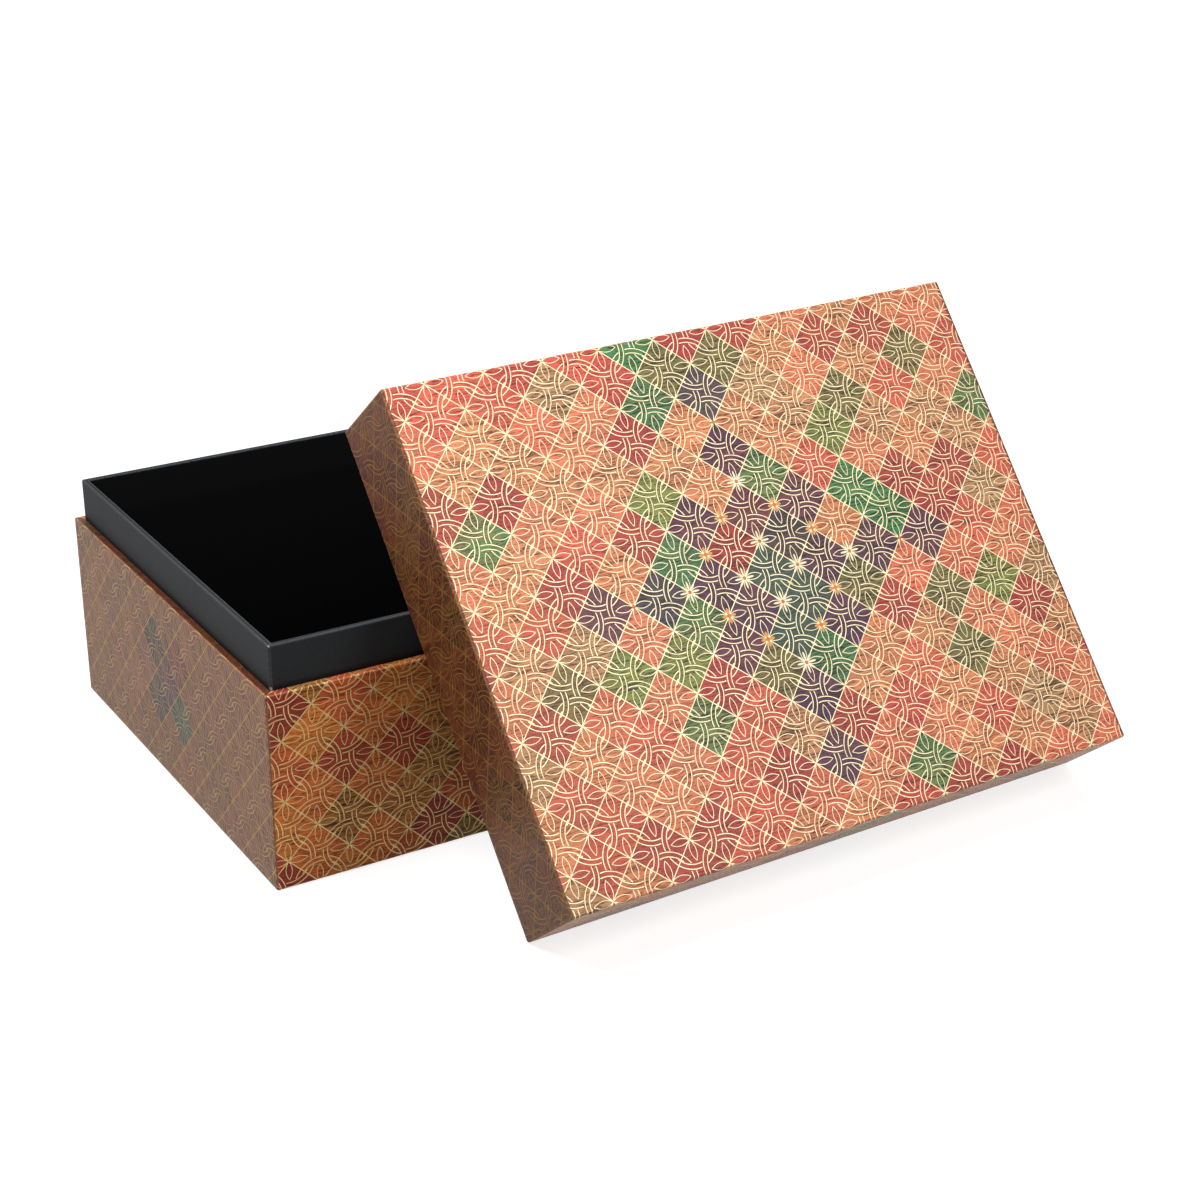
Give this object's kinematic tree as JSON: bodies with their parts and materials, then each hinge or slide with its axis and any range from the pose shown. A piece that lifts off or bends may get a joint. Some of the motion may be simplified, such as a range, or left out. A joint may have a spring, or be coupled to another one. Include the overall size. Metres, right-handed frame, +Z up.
{
  "type": "keepsake box",
  "caption": "Rectangular rigid board box wrapped in printed paper, with a black raised neck inside the base and a shallow lift-off lid leaning on it.",
  "frame": {"origin": "centre of the base's underside, on the surface that the box stands on", "axes": "+Z up; +X along the base's long side; the lid leans on the neck in front of the base, towards -Y"},
  "size_m": [0.3107, 0.3005, 0.1744],
  "materials": {
    "printed_paper": "satin printed paper, a wood-look patchwork with fine gold lines",
    "black_paper": "matt black fine-grained paper",
    "grey_board": "raw grey board"
  },
  "bodies": {
    "root": {"base_board": "grey_board", "base_wrap": "printed_paper", "base_foot_sheet": "black_paper", "neck_board": "grey_board", "neck_paper": "black_paper", "floor_lining": "black_paper", "lid_board": "grey_board", "lid_wrap": "printed_paper", "lid_lining": "black_paper"}
  },
  "joints": []
}
